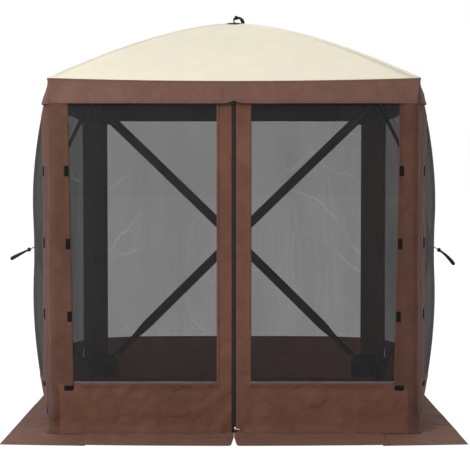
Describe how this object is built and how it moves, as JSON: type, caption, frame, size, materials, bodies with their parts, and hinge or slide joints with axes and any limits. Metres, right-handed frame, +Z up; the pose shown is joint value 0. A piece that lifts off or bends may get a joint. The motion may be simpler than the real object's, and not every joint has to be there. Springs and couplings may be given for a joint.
{
  "type": "screen house",
  "caption": "Square pop-up screen house with a domed roof, bowed mesh walls on hub-and-pole frames, corner columns, a ground skirt and zipped front doors.",
  "frame": {"origin": "on the ground, under the middle of the roof", "axes": "+Z up, -Y out of the doors, +X to the right as seen from the front"},
  "size_m": [2.503, 2.5086, 2.2063],
  "materials": {
    "beige_cloth": "coated polyester cloth",
    "brown_cloth": "coated polyester cloth",
    "grey_mesh": "see-through insect mesh",
    "black_webbing": "woven webbing and tape",
    "black_fibreglass": "fibreglass rod with a moulded ferrule",
    "black_plastic": "moulded plastic",
    "zip_metal": "bare metal"
  },
  "bodies": {
    "shelter": {"back_base": "brown_cloth", "back_left_column": "brown_cloth", "back_left_lower_pocket": "black_webbing", "back_left_upper_pocket": "black_webbing", "back_right_column": "brown_cloth", "back_right_lower_pocket": "black_webbing", "back_right_upper_pocket": "black_webbing", "back_screen": "grey_mesh", "back_sleeves": "black_webbing", "front_header": "grey_mesh", "front_left_column": "brown_cloth", "front_left_lower_pocket": "black_webbing", "front_left_upper_pocket": "black_webbing", "front_right_column": "brown_cloth", "front_right_lower_pocket": "black_webbing", "front_right_upper_pocket": "black_webbing", "left_base": "brown_cloth", "left_screen": "grey_mesh", "left_sleeves": "black_webbing", "right_base": "brown_cloth", "right_screen": "grey_mesh", "right_sleeves": "black_webbing", "roof_canopy": "beige_cloth", "valance": "brown_cloth"},
    "left_hub": {"left_hub": "black_plastic", "left_hub_cap": "black_plastic"},
    "left_pole_upper_front": {"left_pole_upper_front": "black_fibreglass"},
    "left_pole_upper_back": {"left_pole_upper_back": "black_fibreglass"},
    "left_pole_lower_back": {"left_pole_lower_back": "black_fibreglass"},
    "left_pole_lower_front": {"left_pole_lower_front": "black_fibreglass"},
    "left_pull_strap": {"left_pull_strap": "black_webbing"},
    "right_hub": {"right_hub": "black_plastic", "right_hub_cap": "black_plastic"},
    "right_pole_upper_back": {"right_pole_upper_back": "black_fibreglass"},
    "right_pole_upper_front": {"right_pole_upper_front": "black_fibreglass"},
    "right_pole_lower_front": {"right_pole_lower_front": "black_fibreglass"},
    "right_pole_lower_back": {"right_pole_lower_back": "black_fibreglass"},
    "right_pull_strap": {"right_pull_strap": "black_webbing"},
    "back_hub": {"back_hub": "black_plastic", "back_hub_cap": "black_plastic"},
    "back_pole_upper_left": {"back_pole_upper_left": "black_fibreglass"},
    "back_pole_upper_right": {"back_pole_upper_right": "black_fibreglass"},
    "back_pole_lower_right": {"back_pole_lower_right": "black_fibreglass"},
    "back_pole_lower_left": {"back_pole_lower_left": "black_fibreglass"},
    "back_pull_strap": {"back_pull_strap": "black_webbing"},
    "roof_hub": {"roof_hub": "black_plastic", "roof_hub_cap": "black_plastic"},
    "roof_pole_back_right": {"roof_pole_back_right": "black_fibreglass"},
    "roof_pole_back_left": {"roof_pole_back_left": "black_fibreglass"},
    "roof_pole_front_left": {"roof_pole_front_left": "black_fibreglass"},
    "roof_pole_front_right": {"roof_pole_front_right": "black_fibreglass"},
    "roof_pull_strap": {"roof_pull_strap": "black_webbing"},
    "left_door": {"left_door_border": "brown_cloth", "left_door_screen": "grey_mesh", "left_zip_tape": "black_webbing"},
    "right_door": {"right_door_border": "brown_cloth", "right_door_screen": "grey_mesh", "right_zip_tape": "black_webbing"},
    "zip_slider": {"zip_slider": "zip_metal"},
    "zip_pull": {"zip_pull": "zip_metal"}
  },
  "joints": [
    {"name": "left_hub_push", "type": "slide", "parent": "shelter", "child": "left_hub", "axis": [-1, 0, 0], "range_m": [-0.404, 0], "deforming": ["left_screen", "left_sleeves"]},
    {"name": "left_pole_upper_front_turn", "type": "hinge", "parent": "left_hub", "child": "left_pole_upper_front", "pos_m": [-1.104, -0.02717, 0.92157], "axis": [0, 0.6993, 0.7149], "range_deg": [-19.2, 0]},
    {"name": "left_pole_upper_back_turn", "type": "hinge", "parent": "left_hub", "child": "left_pole_upper_back", "pos_m": [-1.104, 0.02717, 0.92157], "axis": [0, 0.6993, -0.7149], "range_deg": [-19.2, 0]},
    {"name": "left_pole_lower_back_turn", "type": "hinge", "parent": "left_hub", "child": "left_pole_lower_back", "pos_m": [-1.104, 0.02717, 0.86843], "axis": [0, -0.6993, -0.7149], "range_deg": [-19.2, 0]},
    {"name": "left_pole_lower_front_turn", "type": "hinge", "parent": "left_hub", "child": "left_pole_lower_front", "pos_m": [-1.104, -0.02717, 0.86843], "axis": [0, -0.6993, 0.7149], "range_deg": [-19.2, 0]},
    {"name": "left_pull_strap_swing", "type": "hinge", "parent": "left_hub", "child": "left_pull_strap", "pos_m": [-1.1395, 0, 0.895], "axis": [0, -1, 0], "range_deg": [-60, 35]},
    {"name": "right_hub_push", "type": "slide", "parent": "shelter", "child": "right_hub", "axis": [1, 0, 0], "range_m": [-0.404, 0], "deforming": ["right_screen", "right_sleeves"]},
    {"name": "right_pole_upper_back_turn", "type": "hinge", "parent": "right_hub", "child": "right_pole_upper_back", "pos_m": [1.104, 0.02717, 0.92157], "axis": [0, -0.6993, 0.7149], "range_deg": [-19.2, 0]},
    {"name": "right_pole_upper_front_turn", "type": "hinge", "parent": "right_hub", "child": "right_pole_upper_front", "pos_m": [1.104, -0.02717, 0.92157], "axis": [0, -0.6993, -0.7149], "range_deg": [-19.2, 0]},
    {"name": "right_pole_lower_front_turn", "type": "hinge", "parent": "right_hub", "child": "right_pole_lower_front", "pos_m": [1.104, -0.02717, 0.86843], "axis": [0, 0.6993, -0.7149], "range_deg": [-19.2, 0]},
    {"name": "right_pole_lower_back_turn", "type": "hinge", "parent": "right_hub", "child": "right_pole_lower_back", "pos_m": [1.104, 0.02717, 0.86843], "axis": [0, 0.6993, 0.7149], "range_deg": [-19.2, 0]},
    {"name": "right_pull_strap_swing", "type": "hinge", "parent": "right_hub", "child": "right_pull_strap", "pos_m": [1.1395, 0, 0.895], "axis": [0, 1, 0], "range_deg": [-60, 35]},
    {"name": "back_hub_push", "type": "slide", "parent": "shelter", "child": "back_hub", "axis": [0, 1, 0], "range_m": [-0.404, 0], "deforming": ["back_screen", "back_sleeves"]},
    {"name": "back_pole_upper_left_turn", "type": "hinge", "parent": "back_hub", "child": "back_pole_upper_left", "pos_m": [-0.02717, 1.104, 0.92157], "axis": [0.6993, 0, 0.7149], "range_deg": [-19.2, 0]},
    {"name": "back_pole_upper_right_turn", "type": "hinge", "parent": "back_hub", "child": "back_pole_upper_right", "pos_m": [0.02717, 1.104, 0.92157], "axis": [0.6993, 0, -0.7149], "range_deg": [-19.2, 0]},
    {"name": "back_pole_lower_right_turn", "type": "hinge", "parent": "back_hub", "child": "back_pole_lower_right", "pos_m": [0.02717, 1.104, 0.86843], "axis": [-0.6993, 0, -0.7149], "range_deg": [-19.2, 0]},
    {"name": "back_pole_lower_left_turn", "type": "hinge", "parent": "back_hub", "child": "back_pole_lower_left", "pos_m": [-0.02717, 1.104, 0.86843], "axis": [-0.6993, 0, 0.7149], "range_deg": [-19.2, 0]},
    {"name": "back_pull_strap_swing", "type": "hinge", "parent": "back_hub", "child": "back_pull_strap", "pos_m": [0, 1.1395, 0.895], "axis": [-1, 0, 0], "range_deg": [-60, 35]},
    {"name": "roof_hub_drop", "type": "slide", "parent": "shelter", "child": "roof_hub", "axis": [0, 0, 1], "range_m": [-0.671, 0], "deforming": ["roof_canopy"]},
    {"name": "roof_pole_back_right_turn", "type": "hinge", "parent": "roof_hub", "child": "roof_pole_back_right", "pos_m": [0.02687, 0.02687, 2.134], "axis": [-0.7071, 0.7071, 0], "range_deg": [-32, 0]},
    {"name": "roof_pole_back_left_turn", "type": "hinge", "parent": "roof_hub", "child": "roof_pole_back_left", "pos_m": [-0.02687, 0.02687, 2.134], "axis": [-0.7071, -0.7071, 0], "range_deg": [-32, 0]},
    {"name": "roof_pole_front_left_turn", "type": "hinge", "parent": "roof_hub", "child": "roof_pole_front_left", "pos_m": [-0.02687, -0.02687, 2.134], "axis": [0.7071, -0.7071, 0], "range_deg": [-32, 0]},
    {"name": "roof_pole_front_right_turn", "type": "hinge", "parent": "roof_hub", "child": "roof_pole_front_right", "pos_m": [0.02687, -0.02687, 2.134], "axis": [0.7071, 0.7071, 0], "range_deg": [-32, 0]},
    {"name": "roof_pull_strap_swing", "type": "hinge", "parent": "roof_hub", "child": "roof_pull_strap", "pos_m": [0, 0, 2.1695], "axis": [0, -1, 0], "range_deg": [0, 60]},
    {"name": "left_door_swing", "type": "hinge", "parent": "shelter", "child": "left_door", "pos_m": [-0.815, -0.915, 0.83], "axis": [0, 0, -1], "range_deg": [0, 85]},
    {"name": "right_door_swing", "type": "hinge", "parent": "shelter", "child": "right_door", "pos_m": [0.815, -0.915, 0.83], "axis": [0, 0, 1], "range_deg": [0, 85]},
    {"name": "zip_run", "type": "slide", "parent": "right_door", "child": "zip_slider", "axis": [0, 0, 1], "range_m": [0, 1.55]},
    {"name": "zip_pull_turn", "type": "hinge", "parent": "zip_slider", "child": "zip_pull", "pos_m": [0.0055, -0.9249, 0.043], "axis": [0, 1, 0], "range_deg": [-80, 80]}
  ],
  "couplings": [
    {"joint": "left_pole_upper_front_turn", "follows": "left_hub_push", "rad_per_m": 0.82763},
    {"joint": "left_pole_upper_back_turn", "follows": "left_hub_push", "rad_per_m": 0.82763},
    {"joint": "left_pole_lower_back_turn", "follows": "left_hub_push", "rad_per_m": 0.82763},
    {"joint": "left_pole_lower_front_turn", "follows": "left_hub_push", "rad_per_m": 0.82763},
    {"joint": "right_pole_upper_back_turn", "follows": "right_hub_push", "rad_per_m": 0.82763},
    {"joint": "right_pole_upper_front_turn", "follows": "right_hub_push", "rad_per_m": 0.82763},
    {"joint": "right_pole_lower_front_turn", "follows": "right_hub_push", "rad_per_m": 0.82763},
    {"joint": "right_pole_lower_back_turn", "follows": "right_hub_push", "rad_per_m": 0.82763},
    {"joint": "back_pole_upper_left_turn", "follows": "back_hub_push", "rad_per_m": 0.82763},
    {"joint": "back_pole_upper_right_turn", "follows": "back_hub_push", "rad_per_m": 0.82763},
    {"joint": "back_pole_lower_right_turn", "follows": "back_hub_push", "rad_per_m": 0.82763},
    {"joint": "back_pole_lower_left_turn", "follows": "back_hub_push", "rad_per_m": 0.82763},
    {"joint": "roof_pole_back_right_turn", "follows": "roof_hub_drop", "rad_per_m": 0.83165},
    {"joint": "roof_pole_back_left_turn", "follows": "roof_hub_drop", "rad_per_m": 0.83165},
    {"joint": "roof_pole_front_left_turn", "follows": "roof_hub_drop", "rad_per_m": 0.83165},
    {"joint": "roof_pole_front_right_turn", "follows": "roof_hub_drop", "rad_per_m": 0.83165}
  ]
}
